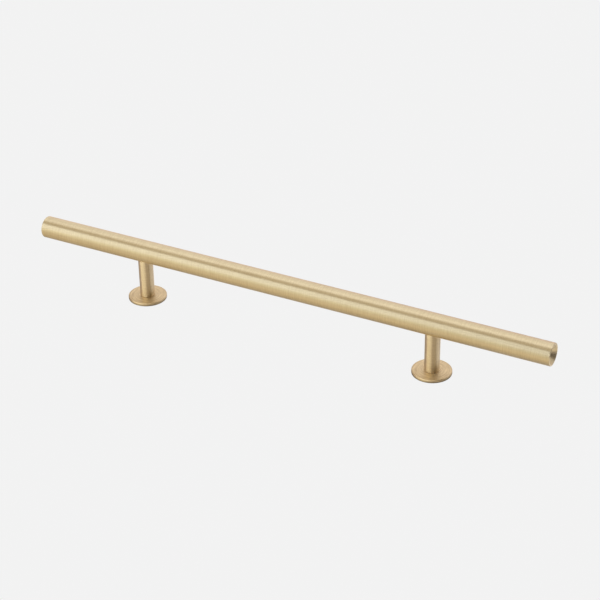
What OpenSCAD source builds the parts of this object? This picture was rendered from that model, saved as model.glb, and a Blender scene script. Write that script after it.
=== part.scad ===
// Bar pull for a cabinet door or a drawer. A round bar is carried clear of the door by two round
// posts, and each post stands on a thin round base.
//
// X runs along the bar and Z points away from the door. The face of the door is at Z = 0, and the
// origin is halfway between the two posts. Lengths are in millimetres and angles in degrees.

/* [Bar] */
// Length of the bar from end to end
bar_l = 355.6; // [260:0.1:460]
// Diameter of the bar
bar_d = 14.3; // [12:0.1:18]
// Radius of the rounded edge at each end of the bar
bar_edge_r = 0.4; // [0.2:0.1:1.2]
// Width of the flat land between the rounded edge and the recess
end_land_w = 0.5; // [0.3:0.1:1.2]
// Included angle of the conical recess in each end of the bar
recess_angle = 90; // [75:1:120]

/* [Posts] */
// Distance between the centres of the two posts
hole_spacing = 203.2; // [160:0.1:240]
// Distance from the door to the far side of the bar
projection = 41.3; // [38:0.1:60]
// Diameter of each post
post_d = 9.5; // [9:0.1:11]
// Size of the chamfer round the foot of each post
post_chamfer = 0.5; // [0.1:0.05:0.6]
// Diameter of the spigot under each post
spigot_d = 7; // [6:0.1:7.6]
// Distance by which the spigot stops short of the door, so that the screw clamps the base
spigot_setback = 0.2; // [0.1:0.05:0.4]

/* [Bases] */
// Diameter of each base
base_d = 25; // [20:0.1:32]
// Thickness of each base
base_t = 2; // [1.5:0.1:3]
// Radius of the rounded edge round the top of each base
base_edge_r = 0.5; // [0.2:0.05:0.7]
// Size of the chamfer round the bottom of each base
base_chamfer = 0.25; // [0.1:0.05:0.4]
// Size of the chamfer at both mouths of the bore in each base
bore_chamfer = 0.3; // [0.1:0.05:0.4]

/* [Mounting holes] */
// Outer diameter of the thread tapped into each post for the mounting screw
screw_thread_d = 4.17; // [3:0.01:4.5]
// Length of the tapped wall, from the chamfered mouth to the drill point
screw_hole_l = 12; // [8:0.1:13]
// Width of the chamfer at the mouth of the hole
screw_mouth_w = 0.4; // [0.2:0.05:0.6]

/* [Studs] */
// Outer diameter of the thread on each stud
stud_d = 5; // [4:0.1:5.5]
// Length of each stud
stud_l = 12; // [11:0.1:13]
// Length of the stud that is screwed into the bar
stud_in_bar_l = 6; // [5:0.1:7]
// Size of the chamfer round both ends of the stud
stud_chamfer = 0.5; // [0.2:0.05:0.8]
// Width across the flats of the key socket in the lower end of the stud
socket_w = 2.5; // [2:0.05:3]
// Depth of the key socket
socket_depth = 2.5; // [1.5:0.1:3]
// Diameter of the cup in the upper end of the stud
cup_d = 2.5; // [1.5:0.1:3]
// Depth of the cup
cup_depth = 1; // [0.5:0.1:1.5]

/* [Fits] */
// Gap all round between a stud and its tapped holes
stud_gap = 0.03; // [0.01:0.01:0.1]
// Space between each end of a stud and the bottom of its hole
stud_end_gap = 0.5; // [0.2:0.1:1]
// Gap all round between a spigot and the bore of its base
spigot_gap = 0.05; // [0.02:0.01:0.15]
// Gap between the bar and the hollow that seats it on top of each post
saddle_gap = 0.02; // [0.01:0.01:0.1]

/* [Hidden] */
$fn = 96;

// Angle across the point that a twist drill leaves at the bottom of a hole
drill_angle = 118;
// Length by which every cut runs past the face that it opens
overrun = 1;

bar_colour = "#d8c494";
post_colour = "#d2bd8e";
base_colour = "#d0b489";
stud_colour = "#a9aaac";

bar_r = bar_d / 2;
// Height of the bar's axis above the door
axis_z = projection - bar_r;
// Height of the bar's underside, where the hollow of a post is deepest
seat_z = axis_z - bar_r;

recess_r = bar_r - bar_edge_r - end_land_w;
recess_depth = recess_r / tan(recess_angle / 2);

base_bore_d = spigot_d + 2 * spigot_gap;

stud_hole_d = stud_d + 2 * stud_gap;
stud_top_z = seat_z + stud_in_bar_l;
stud_bottom_z = stud_top_z - stud_l;
// The bottoms of the two holes that a stud fills, without their drill points
bar_hole_top_z = stud_top_z + stud_end_gap;
post_hole_bottom_z = stud_bottom_z - stud_end_gap;

// What is left of a square corner of side r, at the origin and with its corner at [r, r], once
// the corner is rounded to the radius r. Taken off a profile, it rounds that profile's corner.
module corner_waste(r) {
    difference() {
        square(r + overrun);
        circle(r);
    }
}

// Moves its children to the left post, where side is -1, or to the right post, where side is 1
module at_post(side) {
    translate([side * hole_spacing / 2, 0, 0]) children();
}

// Blind hole along Z with its mouth at the origin, running up for the length l of its wall and
// ending in a drill point
module drilled_hole(d, l) {
    translate([0, 0, -overrun]) cylinder(h = l + overrun, d = d);
    translate([0, 0, l]) cylinder(h = d / 2 / tan(drill_angle / 2), d1 = d, d2 = 0);
}

// Chamfered mouth of a hole of the diameter d, opening downwards at the origin and w wide
module chamfered_mouth(d, w) {
    translate([0, 0, -overrun]) cylinder(h = w + overrun, d1 = d + 2 * (w + overrun), d2 = d);
}

// Half of the bar's section, from its middle out to one end, with the radius along X and the
// length along Y
module half_bar_section() {
    difference() {
        square([bar_r, bar_l / 2]);
        translate([bar_r - bar_edge_r, bar_l / 2 - bar_edge_r]) corner_waste(bar_edge_r);
        polygon([
            [0, bar_l / 2 - recess_depth],
            [recess_r, bar_l / 2],
            [recess_r, bar_l / 2 + overrun],
            [0, bar_l / 2 + overrun]
        ]);
    }
}

module turned_bar() {
    rotate_extrude() {
        half_bar_section();
        mirror([0, 1]) half_bar_section();
    }
}

module bar() {
    color(bar_colour) difference() {
        translate([0, 0, axis_z]) rotate([0, 90, 0]) turned_bar();
        for (side = [-1, 1]) {
            at_post(side) translate([0, 0, seat_z]) drilled_hole(stud_hole_d, bar_hole_top_z - seat_z);
        }
    }
}

// Post with its spigot, turned from one piece. Its top is left long, for the hollow to be cut
module turned_post() {
    rotate_extrude() polygon([
        [0, spigot_setback],
        [spigot_d / 2, spigot_setback],
        [spigot_d / 2, base_t],
        [post_d / 2 - post_chamfer, base_t],
        [post_d / 2, base_t + post_chamfer],
        [post_d / 2, axis_z],
        [0, axis_z]
    ]);
}

module post(side) {
    at_post(side) difference() {
        turned_post();
        // the hollow that the bar lies in
        translate([0, 0, axis_z]) rotate([0, 90, 0])
            cylinder(h = post_d + overrun, r = bar_r + saddle_gap, center = true);
        // the tapped hole for the stud, from above
        translate([0, 0, seat_z]) mirror([0, 0, 1]) drilled_hole(stud_hole_d, seat_z - post_hole_bottom_z);
        // the tapped hole for the mounting screw, from below
        translate([0, 0, spigot_setback]) {
            drilled_hole(screw_thread_d, screw_mouth_w + screw_hole_l);
            chamfered_mouth(screw_thread_d, screw_mouth_w);
        }
    }
}

// Half of the section of a base, with the radius along X and the height along Y
module half_base_section() {
    difference() {
        polygon([
            [base_bore_d / 2 + bore_chamfer, 0],
            [base_d / 2 - base_chamfer, 0],
            [base_d / 2, base_chamfer],
            [base_d / 2, base_t],
            [base_bore_d / 2 + bore_chamfer, base_t],
            [base_bore_d / 2, base_t - bore_chamfer],
            [base_bore_d / 2, bore_chamfer]
        ]);
        translate([base_d / 2 - base_edge_r, base_t - base_edge_r]) corner_waste(base_edge_r);
    }
}

module base(side) {
    at_post(side) rotate_extrude() half_base_section();
}

// Headless stud: a key socket in its lower end, a cup in its upper end
module stud(side) {
    at_post(side) translate([0, 0, stud_bottom_z]) difference() {
        rotate_extrude() polygon([
            [0, 0],
            [stud_d / 2 - stud_chamfer, 0],
            [stud_d / 2, stud_chamfer],
            [stud_d / 2, stud_l - stud_chamfer],
            [stud_d / 2 - stud_chamfer, stud_l],
            [0, stud_l]
        ]);
        translate([0, 0, -overrun])
            cylinder(h = socket_depth + overrun, d = socket_w / cos(30), $fn = 6);
        translate([0, 0, stud_l - cup_depth])
            cylinder(h = cup_depth + overrun, d1 = 0, d2 = cup_d * (cup_depth + overrun) / cup_depth);
    }
}

module left_post() {
    color(post_colour) post(-1);
}

module right_post() {
    color(post_colour) post(1);
}

module left_base() {
    color(base_colour) base(-1);
}

module right_base() {
    color(base_colour) base(1);
}

module left_stud() {
    color(stud_colour) stud(-1);
}

module right_stud() {
    color(stud_colour) stud(1);
}

bar();
left_post();
right_post();
left_base();
right_base();
left_stud();
right_stud();
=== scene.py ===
"""Looks of the bar cabinet pull: each piece is turned, drilled and brushed here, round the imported
solids, which give its size and its place.

Lengths are in metres, in the frame of the solids: X runs along the bar, Z points away from the
door, and the face of the door is at Z = 0.
"""

import logging
import math
from collections.abc import Callable, Iterator
from contextlib import contextmanager
from dataclasses import dataclass, field
from enum import Enum
from typing import ClassVar

import bmesh
import bpy
from mathutils import Matrix, Vector


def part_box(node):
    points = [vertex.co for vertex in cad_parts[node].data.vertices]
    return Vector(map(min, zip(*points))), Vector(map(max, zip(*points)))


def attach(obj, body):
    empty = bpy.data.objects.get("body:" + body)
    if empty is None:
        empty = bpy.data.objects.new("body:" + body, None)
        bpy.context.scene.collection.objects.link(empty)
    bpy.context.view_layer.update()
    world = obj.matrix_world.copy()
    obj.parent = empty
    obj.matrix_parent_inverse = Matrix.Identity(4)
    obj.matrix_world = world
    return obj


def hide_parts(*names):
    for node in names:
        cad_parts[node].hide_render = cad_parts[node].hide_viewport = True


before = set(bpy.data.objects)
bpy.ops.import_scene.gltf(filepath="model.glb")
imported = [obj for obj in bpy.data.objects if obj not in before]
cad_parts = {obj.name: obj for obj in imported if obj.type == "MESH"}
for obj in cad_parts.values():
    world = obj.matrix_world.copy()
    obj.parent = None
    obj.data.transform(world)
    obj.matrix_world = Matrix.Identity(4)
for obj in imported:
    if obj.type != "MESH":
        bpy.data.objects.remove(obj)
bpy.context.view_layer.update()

LOG = logging.getLogger("bar_pull")
MM = 0.001
BODY = "root"
TURNED_SEGMENTS = 144
FINE_SEGMENTS = 64
HEXAGON = 6
SMOOTH_ANGLE = math.radians(28)
DRILL_ANGLE = math.radians(118)
# The least share of a face's normal along an axis for the face to count as facing that way
FACING = 0.9
# How far a point may be off a level and off a ring that it counts as lying on
LEVEL_TOLERANCE = 0.01 * MM
RING_TOLERANCE = 0.02 * MM
# The distance under which points are merged, in a shape and in a newly wound thread
DOUBLES_DISTANCE = 0.0005 * MM
SCREW_DOUBLES_DISTANCE = 0.001 * MM

Colour = tuple[float, float, float]
BLACK: Colour = (0.0, 0.0, 0.0)
CREAM: Colour = (1.0, 1.0, 0.78)
WARM: Colour = (1.16, 1.0, 0.66)
AMBER: Colour = (1.25, 1.0, 0.5)
ROSE: Colour = (1.2, 0.92, 0.92)
FRESH: Colour = (0.985, 1.04, 1.07)
Socket = bpy.types.NodeSocket


class Axis(Enum):
    """The axis that a piece was turned about."""

    X = 0
    Z = 2


class Element(Enum):
    """What an edit selects."""

    VERT = "VERT"
    EDGE = "EDGE"
    FACE = "FACE"


class Operation(Enum):
    """What becomes of two shapes that are combined."""

    UNION = "UNION"
    DIFFERENCE = "DIFFERENCE"
    INTERSECT = "INTERSECT"


class Way(Enum):
    """The way that a hole runs from its mouth."""

    UP = 1
    DOWN = -1


class Side(Enum):
    """The end of the bar that a post stands under."""

    LEFT = -1
    RIGHT = 1

    @property
    def word(self) -> str:
        """The side as it stands in the names of pieces."""
        return self.name.lower()


class Signal:
    """A shader socket that Python's operators work on, each by adding a Math node."""

    def __init__(self, shader: "Shader", socket: Socket) -> None:
        """Wraps an output socket of a shader."""
        self.shader = shader
        self.socket = socket

    def math(self, operation: str, *values: "Signal | float") -> "Signal":
        """The result of a Math node that takes this signal first and then the values."""
        inputs = dict(enumerate((self, *values)))
        return self.shader.node("ShaderNodeMath", {"operation": operation}, inputs)

    def __add__(self, other: "Signal | float") -> "Signal":
        """This plus other."""
        return self.math("ADD", other)

    def __radd__(self, other: float) -> "Signal":
        """Other plus this."""
        return self.math("ADD", other)

    def __sub__(self, other: "Signal | float") -> "Signal":
        """This less other."""
        return self.math("SUBTRACT", other)

    def __rsub__(self, other: float) -> "Signal":
        """Other less this."""
        return (self * -1).math("ADD", other)

    def __mul__(self, other: "Signal | float") -> "Signal":
        """This times other."""
        return self.math("MULTIPLY", other)

    def __rmul__(self, other: float) -> "Signal":
        """Other times this."""
        return self.math("MULTIPLY", other)

    def __truediv__(self, other: "Signal | float") -> "Signal":
        """This over other."""
        return self.math("DIVIDE", other)

    def clamped(self) -> "Signal":
        """This, held between 0 and 1."""
        return self.math("MINIMUM", 1.0).math("MAXIMUM", 0.0)

    def ramp(self, start: float, end: float) -> "Signal":
        """A share that rises smoothly from 0 to 1 as this goes from start to end."""
        settings = {"interpolation_type": "SMOOTHSTEP"}
        return self.shader.node("ShaderNodeMapRange", settings, {0: self, 1: start, 2: end})


class Shader:
    """The nodes of a material or a world under construction.

    The values in capitals are the places of a Mix node's sockets for colours.
    """

    MIX_SHARE = 0
    MIX_FIRST = 6
    MIX_SECOND = 7
    MIX_RESULT = 2

    def __init__(self, owner: bpy.types.Material | bpy.types.World) -> None:
        """Starts with no nodes.

        Args:
            owner: The material or the world.
        """
        owner.use_nodes = True
        self.owner = owner
        self.tree = owner.node_tree
        self.tree.nodes.clear()

    @classmethod
    def material(cls, name: str) -> "Shader":
        """Starts a new material of that name."""
        return cls(bpy.data.materials.new(name))

    def add(
        self, kind: str, settings: dict[str, object], inputs: dict[str | int, object]
    ) -> bpy.types.Node:
        """Adds a node.

        Args:
            kind: The node's type.
            settings: Its properties, set before its sockets.
            inputs: Values or signals for its input sockets, by name or place.

        Returns:
            The node.
        """
        node = self.tree.nodes.new(kind)
        for name, value in settings.items():
            setattr(node, name, value)
        for name, value in inputs.items():
            if isinstance(value, Signal):
                self.tree.links.new(value.socket, node.inputs[name])
            else:
                node.inputs[name].default_value = value
        return node

    def node(
        self,
        kind: str,
        settings: dict[str, object] | None = None,
        inputs: dict[str | int, object] | None = None,
        output: str | int = 0,
    ) -> Signal:
        """Adds a node and hands back one of its outputs.

        Args:
            kind: The node's type.
            settings: Its properties, set before its sockets.
            inputs: Values or signals for its input sockets, by name or place.
            output: The socket to hand back.

        Returns:
            The chosen output.
        """
        return Signal(self, self.add(kind, settings or {}, inputs or {}).outputs[output])

    def mix(self, share: Signal, first: Colour, second: Colour) -> Signal:
        """The first colour, blended into the second one as the share goes from 0 to 1."""
        inputs = {self.MIX_SHARE: share, self.MIX_FIRST: opaque(first), self.MIX_SECOND: opaque(second)}
        return self.node("ShaderNodeMix", {"data_type": "RGBA"}, inputs, self.MIX_RESULT)

    def finish(self, surface: Signal) -> bpy.types.Material | bpy.types.World:
        """Ends the nodes.

        Args:
            surface: The shader that shows.

        Returns:
            The material or the world.
        """
        kind = "World" if isinstance(self.owner, bpy.types.World) else "Material"
        self.add(f"ShaderNodeOutput{kind}", {}, {"Surface": surface})
        return self.owner


def opaque(colour: Colour) -> tuple[float, float, float, float]:
    """Gives a colour the alpha that a colour socket takes."""
    return (*colour, 1.0)


@dataclass(frozen=True)
class TurnedGrain:
    """Fine lines left by turning and brushing a piece about an axis.

    On a cylinder they run round it, and on a face across the axis they are rings. Gloss spreads
    across them. A mesh's own tangent runs round Z, or along X once aim_gloss has been called on it.
    """

    axis: Axis
    centre: tuple[float, float, float]
    detail: float = 2.0
    detail_strength: float = 0.55
    least_radius: float = 0.01 * MM

    @property
    def spread_turn(self) -> float:
        """The whole turns from the mesh's own tangent to the way that gloss spreads."""
        return 0.25 if self.axis is Axis.Z else 0.0

    def place(self, shader: Shader) -> tuple[Signal, list[Signal]]:
        """Works out where a point lies about the axis.

        Args:
            shader: The material that the grain goes into.

        Returns:
            The distance along and from the axis, added up, and the two shares of the direction
            from the axis.
        """
        at = shader.node("ShaderNodeTexCoord", output="Object")
        inputs = {"Vector": at, "Location": tuple(-c for c in self.centre)}
        at = shader.node("ShaderNodeMapping", {"vector_type": "POINT"}, inputs)
        parts = [shader.node("ShaderNodeSeparateXYZ", inputs={0: at}, output=i) for i in range(3)]
        along = parts.pop(self.axis.value)
        radius = (parts[0] * parts[0] + parts[1] * parts[1]).math("SQRT")
        radius = radius.math("MAXIMUM", self.least_radius)
        return along + radius, [p / radius for p in parts]

    def lines(self, shader: Shader, width: float, sweep: float) -> Signal:
        """Lines of random strength.

        Args:
            shader: The material that they go into.
            width: The usual width of a line and its gap.
            sweep: How often a line changes strength on its way round, at most about 3.

        Returns:
            A strength from 0 to 1.
        """
        across, direction = self.place(shader)
        vector = shader.node(
            "ShaderNodeCombineXYZ",
            inputs={0: across / width, 1: direction[0] * sweep, 2: direction[1] * sweep},
        )
        settings = {"noise_dimensions": "3D"}
        inputs = {
            "Vector": vector,
            "Scale": 1.0,
            "Detail": self.detail,
            "Roughness": self.detail_strength,
        }
        return shader.node("ShaderNodeTexNoise", settings, inputs, "Fac")


@dataclass(frozen=True)
class BrushedBrass:
    """Solid brass, brushed on the lathe and clear lacquered.

    Shares are those of the broad lines, the fine lines and the mottle, in that order.
    """

    name: str
    grain: TurnedGrain
    light: Colour
    deep: Colour
    roughness: float = 0.465
    roughness_spread: float = 0.08
    anisotropy: float = 0.93
    line_width: float = 0.42 * MM
    line_sweep: float = 0.8
    fine_line_width: float = 0.14 * MM
    fine_line_sweep: float = 1.4
    line_depth: float = 0.012 * MM
    mottle_size: float = 18 * MM
    mottle_detail: float = 3.0
    tone_shares: tuple[float, float, float] = (0.28, 0.62, 0.1)
    tone_range: tuple[float, float] = (0.36, 0.64)
    grind_shares: tuple[float, float] = (0.4, 0.6)
    height_shares: tuple[float, float] = (0.35, 0.65)
    coat: float = 0.08
    coat_roughness: float = 0.2

    def material(self) -> bpy.types.Material:
        """Builds the material.

        Returns:
            The material, for a slot.
        """
        shader = Shader.material(self.name)
        broad = self.grain.lines(shader, self.line_width, self.line_sweep)
        fine = self.grain.lines(shader, self.fine_line_width, self.fine_line_sweep)
        at = shader.node("ShaderNodeTexCoord", output="Object")
        mottle = shader.node(
            "ShaderNodeTexNoise",
            inputs={"Vector": at, "Scale": 1 / self.mottle_size, "Detail": self.mottle_detail},
            output="Fac",
        )
        broad_tone, fine_tone, mottle_tone = self.tone_shares
        tone = broad * broad_tone + fine * fine_tone + mottle * mottle_tone
        colour = shader.mix(tone.ramp(*self.tone_range), self.deep, self.light)
        broad_grind, fine_grind = self.grind_shares
        grind = (broad * broad_grind + fine * fine_grind - 0.5) * (2 * self.roughness_spread)
        broad_height, fine_height = self.height_shares
        height = fine * fine_height + broad * broad_height
        bump = shader.node(
            "ShaderNodeBump",
            inputs={"Strength": 1.0, "Distance": self.line_depth, "Height": height},
            output="Normal",
        )
        surface = shader.node(
            "ShaderNodeBsdfPrincipled",
            inputs={
                "Base Color": colour,
                "Metallic": 1.0,
                "Roughness": (grind + self.roughness).clamped(),
                "Anisotropic": self.anisotropy,
                "Anisotropic Rotation": self.grain.spread_turn,
                "Normal": bump,
                "Coat Weight": self.coat,
                "Coat Roughness": self.coat_roughness,
            },
        )
        return shader.finish(surface)


@dataclass(frozen=True)
class PlatedSteel:
    """Zinc plated steel of a small screw."""

    name: str
    light: Colour = (0.62, 0.62, 0.6)
    deep: Colour = (0.42, 0.43, 0.44)
    roughness: float = 0.32
    roughness_spread: float = 0.1
    grain_size: float = 0.6 * MM
    grain_detail: float = 4.0
    tone_range: tuple[float, float] = (0.35, 0.65)

    def material(self) -> bpy.types.Material:
        """Builds the material.

        Returns:
            The material, for a slot.
        """
        shader = Shader.material(self.name)
        at = shader.node("ShaderNodeTexCoord", output="Object")
        inputs = {"Vector": at, "Scale": 1 / self.grain_size, "Detail": self.grain_detail}
        cloud = shader.node("ShaderNodeTexNoise", inputs=inputs, output="Fac")
        least = self.roughness - self.roughness_spread
        surface = shader.node(
            "ShaderNodeBsdfPrincipled",
            inputs={
                "Base Color": shader.mix(cloud.ramp(*self.tone_range), self.deep, self.light),
                "Metallic": 1.0,
                "Roughness": cloud * (2 * self.roughness_spread) + least,
            },
        )
        return shader.finish(surface)


@contextmanager
def edit_mode(piece: bpy.types.Object, element: Element) -> Iterator[bmesh.types.BMesh]:
    """Opens a piece in edit mode with nothing selected.

    Args:
        piece: The piece.
        element: What the edit selects.

    Yields:
        The mesh, for its elements to be selected by place or normal.
    """
    bpy.context.view_layer.objects.active = piece
    bpy.ops.object.mode_set(mode="EDIT")
    bpy.ops.mesh.select_mode(type=element.value)
    bpy.ops.mesh.select_all(action="DESELECT")
    try:
        yield bmesh.from_edit_mesh(piece.data)
    finally:
        bpy.ops.object.mode_set(mode="OBJECT")


def pick_faces(mesh: bmesh.types.BMesh, wanted: Callable[[bmesh.types.BMFace], bool]) -> None:
    """Selects the faces that pass a test.

    Args:
        mesh: The mesh, open in edit mode.
        wanted: The test.
    """
    for face in mesh.faces:
        face.select_set(wanted(face))
    mesh.select_flush_mode()


def pick_edges(mesh: bmesh.types.BMesh, wanted: Callable[[Vector, Vector], bool]) -> None:
    """Selects the edges whose two ends pass a test.

    Args:
        mesh: The mesh, open in edit mode.
        wanted: The test, of the places of both ends.
    """
    for edge in mesh.edges:
        edge.select_set(wanted(*(v.co for v in edge.verts)))
    mesh.select_flush_mode()


def select_only(piece: bpy.types.Object) -> None:
    """Selects a piece alone and makes it active.

    Args:
        piece: The piece.
    """
    bpy.ops.object.select_all(action="DESELECT")
    piece.select_set(True)
    bpy.context.view_layer.objects.active = piece


def settle(piece: bpy.types.Object, name: str) -> bpy.types.Object:
    """Names the active object and puts its place into its mesh.

    Args:
        piece: The object, selected and active.
        name: Its name.

    Returns:
        The object.
    """
    piece.name = piece.data.name = name
    bpy.ops.object.transform_apply(location=True, rotation=True, scale=True)
    return piece


def turned_blank(
    name: str,
    axis: Axis,
    centre: Vector,
    radius: float,
    length: float,
    segments: int = TURNED_SEGMENTS,
) -> bpy.types.Object:
    """Adds a round blank, with its place in its mesh.

    Args:
        name: The name of the piece.
        axis: The axis that it lies along.
        centre: Its middle.
        radius: Its radius.
        length: Its length.
        segments: The sides of its circle.

    Returns:
        The blank, selected and active.
    """
    bpy.ops.object.select_all(action="DESELECT")
    turn = (0.0, math.pi / 2, 0.0) if axis is Axis.X else (0.0, 0.0, 0.0)
    bpy.ops.mesh.primitive_cylinder_add(
        vertices=segments, radius=radius, depth=length, location=centre, rotation=turn
    )
    return settle(bpy.context.object, name)


def drill(name: str, mouth: Vector, way: Way, radius: float, depth: float) -> bpy.types.Object:
    """Adds a drill's shape, to be cut out of a piece.

    Args:
        name: Its name.
        mouth: The middle of the hole's mouth.
        way: The way that the hole runs from its mouth.
        radius: The radius of the hole.
        depth: The depth of its round wall, without the drill's point.

    Returns:
        The shape, which starts one radius before the mouth.
    """
    middle = mouth + Vector((0, 0, way.value * (depth - radius) / 2))
    shape = turned_blank(name, Axis.Z, middle, radius, depth + radius, FINE_SEGMENTS)
    point = radius / math.tan(DRILL_ANGLE / 2)
    with edit_mode(shape, Element.FACE) as mesh:
        pick_faces(mesh, lambda face: face.normal.z * way.value > FACING)
        bpy.ops.mesh.extrude_region_move(TRANSFORM_OT_translate={"value": (0, 0, way.value * point)})
        bpy.ops.mesh.merge(type="CENTER")
    return shape


def cone(name: str, foot: Vector, lower: float, upper: float, height: float) -> bpy.types.Object:
    """Adds a cone on a vertical axis.

    Args:
        name: Its name.
        foot: The middle of its lower face.
        lower: The radius of its lower face.
        upper: The radius of its upper face.
        height: Its height.

    Returns:
        The cone, with its place in its mesh.
    """
    bpy.ops.object.select_all(action="DESELECT")
    middle = foot + Vector((0, 0, height / 2))
    bpy.ops.mesh.primitive_cone_add(
        vertices=FINE_SEGMENTS, radius1=lower, radius2=upper, depth=height, location=middle
    )
    return settle(bpy.context.object, name)


def combine(piece: bpy.types.Object, other: bpy.types.Object, operation: Operation) -> None:
    """Joins another shape to a piece, cuts it out or keeps what the two share, and removes it.

    Args:
        piece: The piece.
        other: The other shape.
        operation: What becomes of the two.
    """
    select_only(piece)
    modifier = piece.modifiers.new("combine", "BOOLEAN")
    modifier.operation = operation.value
    modifier.solver = "EXACT"
    modifier.object = other
    bpy.ops.object.modifier_apply(modifier=modifier.name)
    bpy.data.objects.remove(other)


def cut(piece: bpy.types.Object, tool: bpy.types.Object) -> None:
    """Cuts a tool's shape out of a piece, and removes the tool."""
    combine(piece, tool, Operation.DIFFERENCE)


def split_faces(piece: bpy.types.Object) -> None:
    """Splits every face into triangles and merges doubles, for a fine shape to meet it neatly.

    Args:
        piece: The piece.
    """
    with edit_mode(piece, Element.VERT):
        bpy.ops.mesh.select_all(action="SELECT")
        bpy.ops.mesh.quads_convert_to_tris()
        bpy.ops.mesh.remove_doubles(threshold=DOUBLES_DISTANCE)


def combine_fine(piece: bpy.types.Object, other: bpy.types.Object, operation: Operation) -> None:
    """Combines two shapes of which one is a fine thread, without a crack between them.

    Args:
        piece: The piece.
        other: The other shape.
        operation: What becomes of the two.
    """
    split_faces(piece)
    split_faces(other)
    combine(piece, other, operation)
    split_faces(piece)


def smooth(piece: bpy.types.Object) -> None:
    """Shades a piece smooth, apart from its sharp edges."""
    select_only(piece)
    bpy.ops.object.shade_smooth_by_angle(angle=SMOOTH_ANGLE)


def copied(piece: bpy.types.Object, name: str, shift: Vector) -> bpy.types.Object:
    """Copies a finished piece.

    Args:
        piece: The piece.
        name: The copy's name.
        shift: How far the copy stands from the piece.

    Returns:
        The copy, which has a mesh of its own.
    """
    select_only(piece)
    bpy.ops.object.duplicate(linked=False)
    copy = bpy.context.object
    copy.location = shift
    return settle(copy, name)


@dataclass(frozen=True)
class Thread:
    """The form of a right-hand screw thread, as one long tooth wound round Z.

    The shares are how much of the pitch the tooth takes up at its root and at its crest.
    """

    pitch: float
    root_radius: float
    crest_radius: float
    root_share: float = 0.9
    crest_share: float = 0.03
    steps: int = 32

    def wind(self, name: str, foot: Vector, length: float) -> bpy.types.Object:
        """Winds the tooth.

        Args:
            name: The name of its object.
            foot: The middle of its first turn's foot.
            length: How far along Z it reaches.

        Returns:
            The tooth, as a closed solid with its place in its mesh.
        """
        bpy.ops.object.select_all(action="DESELECT")
        bpy.ops.mesh.primitive_plane_add(size=1.0, location=(0, 0, 0))
        tooth = bpy.context.object
        middle = (self.root_radius + self.crest_radius) / 2
        depth = self.crest_radius - self.root_radius
        with edit_mode(tooth, Element.VERT) as mesh:
            for vertex in mesh.verts:
                on_crest = vertex.co.x > 0
                share = self.crest_share if on_crest else self.root_share
                place = middle + (0.5 if on_crest else -0.5) * depth
                vertex.co = Vector((place, 0, math.copysign(share * self.pitch / 2, vertex.co.y)))
        screw = tooth.modifiers.new("wind", "SCREW")
        screw.axis = "Z"
        screw.steps = screw.render_steps = self.steps
        screw.screw_offset = self.pitch
        screw.iterations = math.ceil(length / self.pitch)
        screw.use_merge_vertices = False
        bpy.ops.object.modifier_apply(modifier=screw.name)
        with edit_mode(tooth, Element.VERT):
            bpy.ops.mesh.select_all(action="SELECT")
            bpy.ops.mesh.remove_doubles(threshold=SCREW_DOUBLES_DISTANCE)
            bpy.ops.mesh.fill_holes(sides=4)
            bpy.ops.mesh.select_all(action="SELECT")
            bpy.ops.mesh.normals_make_consistent(inside=False)
        tooth.location = foot
        select_only(tooth)
        return settle(tooth, name)


def aim_gloss(piece: bpy.types.Object) -> None:
    """Makes a mesh's own tangent run along X all over, instead of round Z.

    The tangent runs round the middle of the texture space, so it is straight where that middle is
    far off along Y and the space is thin that way.

    Args:
        piece: The piece.
    """
    piece.data.use_auto_texspace = False
    piece.data.texspace_location = (0.0, -1.0, 0.0)
    piece.data.texspace_size = (1.0, 0.01, 1.0)


def dress(piece: bpy.types.Object, material: bpy.types.Material, node: str) -> None:
    """Gives a piece its finish and its place in the assembly.

    Args:
        piece: The piece.
        material: Its finish.
        node: The solid that it stands for.
    """
    piece.data.materials.clear()
    piece.data.materials.append(material)
    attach(piece, BODY)
    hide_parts(node)
    LOG.info("%s: %d faces", piece.name, len(piece.data.polygons))


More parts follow.
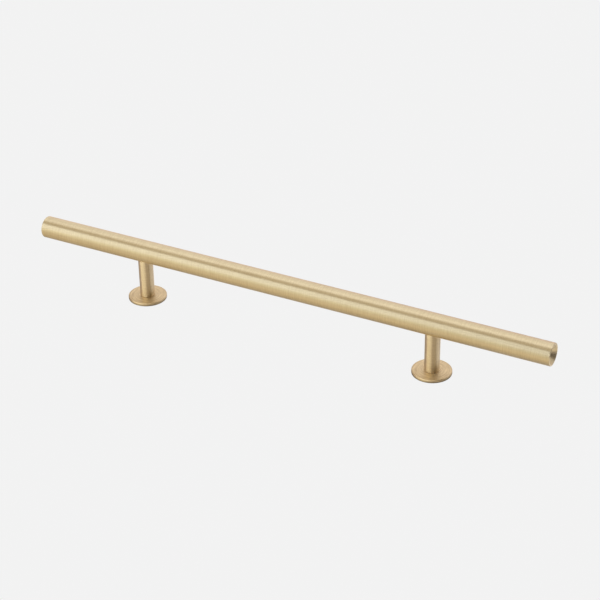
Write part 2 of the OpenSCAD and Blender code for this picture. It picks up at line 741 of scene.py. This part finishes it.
@dataclass
class Bar:
    """The round bar, with a conical recess in each end."""

    edge_radius: float = 0.4 * MM
    edge_segments: int = 8
    land_width: float = 0.5 * MM
    recess_angle: float = math.radians(90)
    rim_break: float = 0.1 * MM
    rim_segments: int = 3
    nose_radius: float = 0.15 * MM
    ring_reach: float = 1.4
    stud_gap: float = 0.03 * MM
    stud_end_gap: float = 0.5 * MM
    piece: bpy.types.Object = field(init=False)

    def __post_init__(self) -> None:
        """Takes the bar's size and place from its solid."""
        self.low, self.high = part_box("bar")
        self.centre = (self.low + self.high) / 2
        self.radius = (self.high.z - self.low.z) / 2
        self.length = self.high.x - self.low.x
        self.mouth_radius = self.radius - self.edge_radius - self.land_width

    def build(self, studs: list["Stud"]) -> None:
        """Turns the bar and drills its underside for the studs.

        Args:
            studs: The studs that it is screwed to.
        """
        self.piece = turned_blank("bar_turned", Axis.X, self.centre, self.radius, self.length)
        self.sink_recesses()
        self.round_ends()
        self.part_near_posts(studs)
        for stud in studs:
            mouth = Vector((stud.centre.x, stud.centre.y, self.low.z))
            depth = stud.high.z + self.stud_end_gap - self.low.z
            cut(self.piece, drill("tap_drill", mouth, Way.UP, stud.radius + self.stud_gap, depth))
        smooth(self.piece)

    def sink_recesses(self) -> None:
        """Sinks the conical recess in each end, down to the nose of the tool."""
        depth = (self.mouth_radius - self.nose_radius) / math.tan(self.recess_angle / 2)
        share = self.nose_radius / self.mouth_radius
        for end in (-1, 1):
            with edit_mode(self.piece, Element.FACE) as mesh:
                pick_faces(mesh, lambda face: face.normal.x * end > FACING)
                bpy.ops.mesh.inset(thickness=self.radius - self.mouth_radius)
                bpy.ops.mesh.extrude_region_move(TRANSFORM_OT_translate={"value": (-end * depth, 0, 0)})
                bpy.ops.transform.resize(
                    value=(1, share, share),
                    center_override=(end * (self.length / 2 - depth), self.centre.y, self.centre.z),
                )
                bpy.ops.mesh.extrude_region_move(
                    TRANSFORM_OT_translate={"value": (-end * self.nose_radius / 2, 0, 0)}
                )
                bpy.ops.mesh.merge(type="CENTER")

    def round_ends(self) -> None:
        """Rounds the outer edge of each end, and breaks the edge of its recess."""
        edges = (
            (self.radius, self.edge_radius, self.edge_segments),
            (self.mouth_radius, self.rim_break, self.rim_segments),
        )
        for radius, size, segments in edges:
            with edit_mode(self.piece, Element.EDGE) as mesh:
                pick_edges(mesh, lambda a, b: self.on_rim(a, b, radius))
                bpy.ops.mesh.bevel(offset=size, segments=segments, profile=0.5, affect="EDGES")

    def on_rim(self, a: Vector, b: Vector, radius: float) -> bool:
        """Tells whether an edge lies on an end of the bar, at a radius.

        Args:
            a: One end of the edge.
            b: The other end.
            radius: The radius.

        Returns:
            True if it does.
        """
        at_end = all(
            abs(abs(p.x - self.centre.x) - self.length / 2) < LEVEL_TOLERANCE for p in (a, b)
        )
        off = [math.hypot(p.y - self.centre.y, p.z - self.centre.z) for p in (a, b)]
        same_end = a.x * b.x > 0
        return at_end and same_end and all(abs(o - radius) < RING_TOLERANCE for o in off)

    def part_near_posts(self, studs: list["Stud"]) -> None:
        """Adds a ring of edges on each side of each stud, so that its hole touches few faces.

        Args:
            studs: The studs.
        """
        for stud in studs:
            for side in (-1, 1):
                at = (stud.centre.x + side * self.ring_reach * stud.radius, 0, 0)
                with edit_mode(self.piece, Element.EDGE):
                    bpy.ops.mesh.select_all(action="SELECT")
                    bpy.ops.mesh.bisect(plane_co=at, plane_no=(1, 0, 0))

    def dress(self) -> None:
        """Gives the bar its finish."""
        finish = BrushedBrass(
            name="brushed_brass_bar",
            grain=TurnedGrain(Axis.X, tuple(self.centre)),
            light=(0.875, 0.762, 0.51),
            deep=(0.745, 0.625, 0.393),
        )
        aim_gloss(self.piece)
        dress(self.piece, finish.material(), "bar")


@dataclass
class PairedPiece:
    """A round upright piece that the pull has twice, once near each end of the bar."""

    side: Side
    kind: ClassVar[str] = ""
    piece: bpy.types.Object = field(init=False)

    def __post_init__(self) -> None:
        """Takes the piece's size and place from its solid."""
        self.node = f"{self.side.word}_{self.kind}"
        self.low, self.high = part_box(self.node)
        self.centre = (self.low + self.high) / 2
        self.radius = (self.high.x - self.low.x) / 2
        self.height = self.high.z - self.low.z

    def copy(self, twin: "PairedPiece") -> None:
        """Takes the shape of the finished twin, in a mesh of its own."""
        name = twin.piece.name.replace(twin.node, self.node)
        self.piece = copied(twin.piece, name, self.centre - twin.centre)

    def above(self, height: float) -> Vector:
        """The point on the piece's axis at a height above the door."""
        return Vector((self.centre.x, self.centre.y, height))

    def on_ring(self, a: Vector, b: Vector, radius: float, height: float) -> bool:
        """Tells whether an edge lies on the ring of a radius at a height.

        Args:
            a: One end of the edge.
            b: The other end.
            radius: The ring's radius.
            height: Its height above the door.

        Returns:
            True if it does.
        """
        off = [math.hypot(p.x - self.centre.x, p.y - self.centre.y) for p in (a, b)]
        level = all(abs(p.z - height) < LEVEL_TOLERANCE for p in (a, b))
        return level and all(abs(o - radius) < RING_TOLERANCE for o in off)


@dataclass
class Stud(PairedPiece):
    """A headless threaded stud, which draws the bar down on its post."""

    kind: ClassVar[str] = "stud"
    pitch: float = 0.8 * MM
    thread_depth: float = 0.49 * MM
    overlap: float = 0.06 * MM
    outline_segments: int = 96
    chamfer: float = 0.5 * MM
    socket_width: float = 2.5 * MM
    socket_depth: float = 2.5 * MM
    cup_radius: float = 1.25 * MM
    cup_depth: float = 1.0 * MM

    def build(self) -> None:
        """Turns the stud, cuts its thread, its key socket and its cup."""
        core = self.radius - self.thread_depth
        thread = Thread(self.pitch, core - self.overlap, self.radius + self.overlap)
        tooth = thread.wind("tooth", self.above(self.low.z - self.pitch), self.height + 2 * self.pitch)
        reach = self.height + 4 * self.pitch
        name = f"{self.node}_threaded"
        self.piece = turned_blank(name, Axis.Z, self.centre, core, reach, FINE_SEGMENTS)
        combine_fine(self.piece, tooth, Operation.UNION)
        combine_fine(self.piece, self.envelope(), Operation.INTERSECT)
        across = self.socket_width / math.sqrt(3)
        mouth = self.above(self.low.z)
        socket = turned_blank("key_socket", Axis.Z, mouth, across, 2 * self.socket_depth, HEXAGON)
        combine_fine(self.piece, socket, Operation.DIFFERENCE)
        point = self.above(self.high.z - self.cup_depth)
        cup = cone("cup", point, 0.0, 2 * self.cup_radius, 2 * self.cup_depth)
        combine_fine(self.piece, cup, Operation.DIFFERENCE)
        smooth(self.piece)

    def envelope(self) -> bpy.types.Object:
        """Turns the outline of the stud, with a chamfer round both ends.

        Returns:
            The outline's solid.
        """
        outline = turned_blank(
            "outline", Axis.Z, self.centre, self.radius, self.height, self.outline_segments
        )
        with edit_mode(outline, Element.EDGE) as mesh:
            pick_edges(mesh, lambda a, b: abs(a.z - b.z) < LEVEL_TOLERANCE)
            bpy.ops.mesh.bevel(offset=self.chamfer, segments=1, affect="EDGES")
        return outline

    def dress(self) -> None:
        """Gives the stud its finish."""
        finish = PlatedSteel(f"plated_steel_{self.side.word}")
        dress(self.piece, finish.material(), self.node)


@dataclass
class Base(PairedPiece):
    """A thin round base, bored for the spigot of its post."""

    kind: ClassVar[str] = "base"
    bore_radius: float = 3.55 * MM
    edge_radius: float = 0.5 * MM
    edge_segments: int = 6
    under_chamfer: float = 0.25 * MM
    under_segments: int = 2
    bore_chamfer: float = 0.3 * MM

    def build(self) -> None:
        """Turns the base, bores it and breaks its edges."""
        name = f"{self.node}_turned"
        self.piece = turned_blank(name, Axis.Z, self.centre, self.radius, self.height)
        with edit_mode(self.piece, Element.FACE) as mesh:
            pick_faces(mesh, lambda face: abs(face.normal.z) > FACING)
            bpy.ops.mesh.inset(thickness=self.radius - self.bore_radius, use_individual=True)
            bpy.ops.mesh.bridge_edge_loops()
        self.break_edge(self.high.z, self.radius, self.edge_radius, self.edge_segments)
        self.break_edge(self.low.z, self.radius, self.under_chamfer, self.under_segments)
        self.break_edge(self.high.z, self.bore_radius, self.bore_chamfer, 1)
        self.break_edge(self.low.z, self.bore_radius, self.bore_chamfer, 1)
        smooth(self.piece)

    def break_edge(self, height: float, radius: float, size: float, segments: int) -> None:
        """Chamfers or rounds a ring of edges.

        Args:
            height: The ring's height above the door.
            radius: Its radius.
            size: How far the new surface reaches from the edge.
            segments: 1 for a chamfer, more for a round.
        """
        with edit_mode(self.piece, Element.EDGE) as mesh:
            pick_edges(mesh, lambda a, b: self.on_ring(a, b, radius, height))
            bpy.ops.mesh.bevel(offset=size, segments=segments, profile=0.5, affect="EDGES")

    def dress(self) -> None:
        """Gives the base its finish."""
        finish = BrushedBrass(
            name=f"brushed_brass_{self.node}",
            grain=TurnedGrain(Axis.Z, tuple(self.centre)),
            light=(0.835, 0.685, 0.43),
            deep=(0.59, 0.455, 0.272),
            roughness=0.52,
            anisotropy=0.5,
            line_width=0.9 * MM,
            fine_line_width=0.32 * MM,
        )
        dress(self.piece, finish.material(), self.node)


@dataclass
class Post(PairedPiece):
    """A post, hollowed on top for the bar, with a spigot that goes through its base."""

    kind: ClassVar[str] = "post"
    spigot_radius: float = 3.5 * MM
    saddle_gap: float = 0.02 * MM
    foot_chamfer: float = 0.5 * MM
    foot_segments: int = 3
    screw_hole_radius: float = 2.085 * MM
    screw_hole_length: float = 12.0 * MM
    screw_mouth: float = 0.4 * MM
    screw_pitch: float = 0.794 * MM
    screw_thread_depth: float = 0.43 * MM
    screw_root_share: float = 0.95
    screw_crest_share: float = 0.25
    overlap: float = 0.04 * MM

    def build(self, bar: Bar, base: Base, stud: Stud) -> None:
        """Turns the post, hollows its top for the bar, drills its top for the stud, and drills and taps
        its foot.

        Args:
            bar: The bar that it carries.
            base: The base that it stands on.
            stud: The stud in its top.
        """
        foot, top = base.high.z, bar.centre.z
        middle = self.above((foot + top) / 2)
        drop = (0, 0, self.low.z - foot)
        self.piece = turned_blank(f"{self.node}_turned", Axis.Z, middle, self.radius, top - foot)
        with edit_mode(self.piece, Element.FACE) as mesh:
            pick_faces(mesh, lambda face: face.normal.z < -FACING)
            bpy.ops.mesh.inset(thickness=self.radius - self.spigot_radius)
            bpy.ops.mesh.extrude_region_move(TRANSFORM_OT_translate={"value": drop})
        with edit_mode(self.piece, Element.EDGE) as mesh:
            pick_edges(mesh, lambda a, b: self.on_ring(a, b, self.radius, foot))
            bpy.ops.mesh.bevel(
                offset=self.foot_chamfer, segments=self.foot_segments, profile=0.5, affect="EDGES"
            )
        across, reach = bar.radius + self.saddle_gap, 4 * self.radius
        hollow = turned_blank(
            "hollow", Axis.X, self.above(top), across, reach, 2 * TURNED_SEGMENTS
        )
        cut(self.piece, hollow)
        depth = bar.low.z - (stud.low.z - bar.stud_end_gap)
        stud_hole = stud.radius + bar.stud_gap
        cut(self.piece, drill("stud_drill", self.above(bar.low.z), Way.DOWN, stud_hole, depth))
        self.tap_screw_hole()
        smooth(self.piece)

    def tap_screw_hole(self) -> None:
        """Drills and taps the hole for the mounting screw, and chamfers its mouth."""
        mouth = self.above(self.low.z)
        wall = self.screw_hole_radius
        depth = self.screw_mouth + self.screw_hole_length
        cutter = drill("screw_drill", mouth, Way.UP, wall, depth)
        combine_fine(self.piece, cutter, Operation.DIFFERENCE)
        crest = wall - self.screw_thread_depth
        root = wall + self.overlap
        thread = Thread(self.screw_pitch, root, crest, self.screw_root_share, self.screw_crest_share)
        start = self.above(self.low.z + self.screw_pitch)
        tooth = thread.wind("tooth", start, self.screw_hole_length - 2 * self.screw_pitch)
        combine_fine(self.piece, tooth, Operation.UNION)
        below = self.above(self.low.z - self.screw_mouth)
        tool = cone("mouth_tool", below, wall + 2 * self.screw_mouth, wall, 2 * self.screw_mouth)
        combine_fine(self.piece, tool, Operation.DIFFERENCE)

    def dress(self) -> None:
        """Gives the post its finish."""
        finish = BrushedBrass(
            name=f"brushed_brass_{self.node}",
            grain=TurnedGrain(Axis.Z, tuple(self.centre)),
            light=(0.845, 0.713, 0.472),
            deep=(0.692, 0.562, 0.356),
            roughness=0.42,
        )
        dress(self.piece, finish.material(), self.node)


@dataclass(frozen=True)
class Softbox:
    """A plain rectangular studio light that faces the pull, with two sides parallel to the bar.

    The angles are in degrees, as the pull sees them: tilt goes round the bar from the front
    upwards, and swing goes along the bar towards its right end. The height, across the bar, and the
    width, along it, are angles too.
    """

    name: str
    tilt: float
    swing: float
    height: float
    width: float
    brightness: float
    tint: Colour = (1.0, 1.0, 1.0)
    distance: float = 1.2

    def hang(self, target: Vector) -> None:
        """Hangs the light.

        Args:
            target: The point that it faces.
        """
        back = from_bar(self.tilt, self.swing)
        ring = math.cos(math.radians(self.swing))
        data = bpy.data.lights.new(self.name, "AREA")
        data.shape = "RECTANGLE"
        data.size = 2 * self.distance * math.tan(math.radians(self.width / 2))
        data.size_y = 2 * self.distance * ring * math.tan(math.radians(self.height / 2))
        data.color = self.tint
        data.energy = self.brightness * math.pi * data.size * data.size_y
        lamp = bpy.data.objects.new(self.name, data)
        bpy.context.scene.collection.objects.link(lamp)
        lamp.matrix_world = upright(target + back * self.distance, beside(back), back)
        lamp.visible_camera = False


def from_bar(tilt: float, swing: float) -> Vector:
    """Gives the unit vector towards a tilt and a swing, as a Softbox counts them.

    Args:
        tilt: The tilt in degrees.
        swing: The swing in degrees.

    Returns:
        The unit vector.
    """
    t, w = math.radians(tilt), math.radians(swing)
    return Vector((math.sin(w), -math.cos(w) * math.cos(t), math.cos(w) * math.sin(t)))


def beside(back: Vector) -> Vector:
    """Gives the unit vector square to back that lies nearest to +X."""
    return (Vector((1, 0, 0)) - back * back.x).normalized()


def upright(place: Vector, right: Vector, back: Vector) -> Matrix:
    """Gives the matrix of a lamp, a card or a camera.

    Args:
        place: Where it stands.
        right: The unit vector towards its right.
        back: The unit vector away from what it looks at.

    Returns:
        The matrix.
    """
    turn = Matrix((right, back.cross(right), back)).transposed()
    return Matrix.Translation(place) @ turn.to_4x4()


def direction(azimuth: float, elevation: float) -> Vector:
    """Gives the unit vector towards an azimuth and an elevation.

    Args:
        azimuth: The azimuth in degrees, from -Y towards +X.
        elevation: The elevation in degrees.

    Returns:
        The unit vector.
    """
    a, e = math.radians(azimuth), math.radians(elevation)
    return Vector((math.sin(a) * math.cos(e), -math.cos(a) * math.cos(e), math.sin(e)))


@dataclass
class Studio:
    """The pale floor, the lights and the camera."""

    target: Vector = field(default_factory=lambda: Vector((11.51 * MM, 0.0, 27.29 * MM)))
    camera_azimuth: float = 28.106
    camera_elevation: float = 30.652
    camera_roll: float = math.radians(-0.888)
    camera_distance: float = 1069.2 * MM
    lens: float = 103.18
    sensor: float = 36.0
    clip: tuple[float, float] = (0.01, 100.0)
    floor_half: float = 12.0
    floor_drop: float = 0.02 * MM
    pale: float = 0.89
    surround: Colour = (0.32, 0.29, 0.295)
    flag_tilt: float = 55.0
    flag_swing: float = 62.0
    flag_size: float = 0.8
    flag_distance: float = 1.0
    contact_reach: float = 2.1 * MM
    contact_drop: float = 0.01 * MM
    softboxes: tuple[Softbox, ...] = (
        Softbox("key_top", 42, -22, 22, 68, 1.43, FRESH),
        Softbox("key_middle", 19, -22, 22, 68, 1.31, FRESH),
        Softbox("key_foot", -3, -22, 22, 68, 0.94, CREAM),
        Softbox("bounce_near", -30, -12, 32, 80, 0.50, WARM),
        Softbox("bounce_far", -62, -12, 34, 80, 0.31, AMBER),
        Softbox("under", -95, -12, 30, 80, 0.14, AMBER),
        Softbox("between", 70, -12, 28, 80, 0.45, WARM),
        Softbox("top_front", 98, -6, 26, 84, 1.01),
        Softbox("top_rear", 123, -6, 26, 84, 0.72),
        Softbox("rear_top", 149, -6, 26, 84, 0.63),
        Softbox("rear_foot", 173, -6, 22, 84, 0.50, ROSE),
        Softbox("rear_below", 215, -6, 50, 84, 0.53),
        Softbox("right_below", 244, 50, 58, 36, 0.75),
        Softbox("right_front", 315, 50, 60, 36, 0.40, WARM),
        Softbox("right_rear", 135, 44, 60, 34, 0.30),
        Softbox("left_front", 0, -72, 90, 30, 0.42, ROSE),
    )

    def build(self) -> None:
        """Sets up the floor, the surroundings, the lights and the camera."""
        self.lay_floor()
        self.set_surround()
        for softbox in self.softboxes:
            softbox.hang(self.target)
        self.hang_flag()
        self.set_camera()

    def lay_floor(self) -> None:
        """Lays the plain pale floor on which the bases stand."""
        bpy.ops.object.select_all(action="DESELECT")
        bpy.ops.mesh.primitive_plane_add(size=2 * self.floor_half, location=(0, 0, -self.floor_drop))
        floor = bpy.context.object
        floor.name = "pale_floor"
        shader = Shader.material("pale_floor")
        glow = shader.node("ShaderNodeEmission", inputs={"Color": opaque((self.pale,) * 3)})
        floor.data.materials.append(shader.finish(glow))
        floor.visible_glossy = floor.visible_diffuse = floor.visible_shadow = False

    def hang_flag(self) -> None:
        """Hangs a black card that keeps the light off the recess from one side."""
        back = from_bar(self.flag_tilt, self.flag_swing)
        bpy.ops.object.select_all(action="DESELECT")
        bpy.ops.mesh.primitive_plane_add(size=self.flag_size)
        flag = bpy.context.object
        flag.name = "black_flag"
        place = self.target + back * self.flag_distance
        flag.matrix_world = upright(place, beside(back), back)
        shader = Shader.material("black_card")
        card = shader.node("ShaderNodeBsdfDiffuse", inputs={0: opaque(BLACK)})
        flag.data.materials.append(shader.finish(card))
        flag.visible_camera = False

    def shade_contact(self, base: Base) -> None:
        """Darkens the floor close round a base, as its metal sees the floor.

        Args:
            base: The base that stands there.
        """
        bpy.ops.object.select_all(action="DESELECT")
        reach = base.radius + self.contact_reach
        middle = base.above(base.low.z - self.contact_drop)
        bpy.ops.mesh.primitive_circle_add(radius=reach, fill_type="NGON", location=middle)
        patch = bpy.context.object
        patch.name = f"contact_shade_{base.side.word}"
        shader = Shader.material(patch.name)
        radius = shader.node(
            "ShaderNodeVectorMath",
            {"operation": "LENGTH"},
            {0: shader.node("ShaderNodeTexCoord", output="Object")},
            "Value",
        )
        clear = radius.ramp(base.radius, reach)
        dark = shader.node("ShaderNodeBsdfDiffuse", inputs={0: opaque(BLACK)})
        open_air = shader.node("ShaderNodeBsdfTransparent")
        surface = shader.node("ShaderNodeMixShader", inputs={0: clear, 1: dark, 2: open_air})
        patch.data.materials.append(shader.finish(surface))
        patch.visible_camera = False

    def set_surround(self) -> None:
        """Makes the room dim for the metal and as pale as the floor for the eye."""
        world = bpy.data.worlds.new("surround")
        bpy.context.scene.world = world
        shader = Shader(world)
        seen = shader.node("ShaderNodeLightPath", output="Is Camera Ray")
        metal, eye = (
            shader.node("ShaderNodeBackground", inputs={"Color": opaque(colour)})
            for colour in (self.surround, (self.pale,) * 3)
        )
        shader.finish(shader.node("ShaderNodeMixShader", inputs={0: seen, 1: metal, 2: eye}))
        bpy.context.scene.view_settings.view_transform = "Standard"

    def set_camera(self) -> None:
        """Sets the camera at the photograph's angle."""
        data = bpy.data.cameras.new("camera")
        data.sensor_width = self.sensor
        data.lens = self.lens
        data.clip_start, data.clip_end = self.clip
        camera = bpy.data.objects.new("camera", data)
        bpy.context.scene.collection.objects.link(camera)
        back = direction(self.camera_azimuth, self.camera_elevation)
        turn = math.radians(self.camera_azimuth)
        level = Vector((math.cos(turn), math.sin(turn), 0))
        rise = back.cross(level)
        c, s = math.cos(self.camera_roll), math.sin(self.camera_roll)
        right = c * level + s * rise
        camera.matrix_world = upright(self.target + back * self.camera_distance, right, back)
        bpy.context.scene.camera = camera


def main() -> None:
    """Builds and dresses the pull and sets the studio."""
    logging.basicConfig(level=logging.INFO, format="%(name)s: %(message)s")
    studio = Studio()
    studio.build()
    bar = Bar()
    studs = [Stud(side) for side in Side]
    bases = [Base(side) for side in Side]
    for base in bases:
        studio.shade_contact(base)
    posts = [Post(side) for side in Side]
    bar.build(studs)
    studs[0].build()
    bases[0].build()
    posts[0].build(bar, bases[0], studs[0])
    for first, second in (studs, bases, posts):
        second.copy(first)
    for piece in (bar, *posts, *bases, *studs):
        piece.dress()


if __name__ == "__main__":
    main()
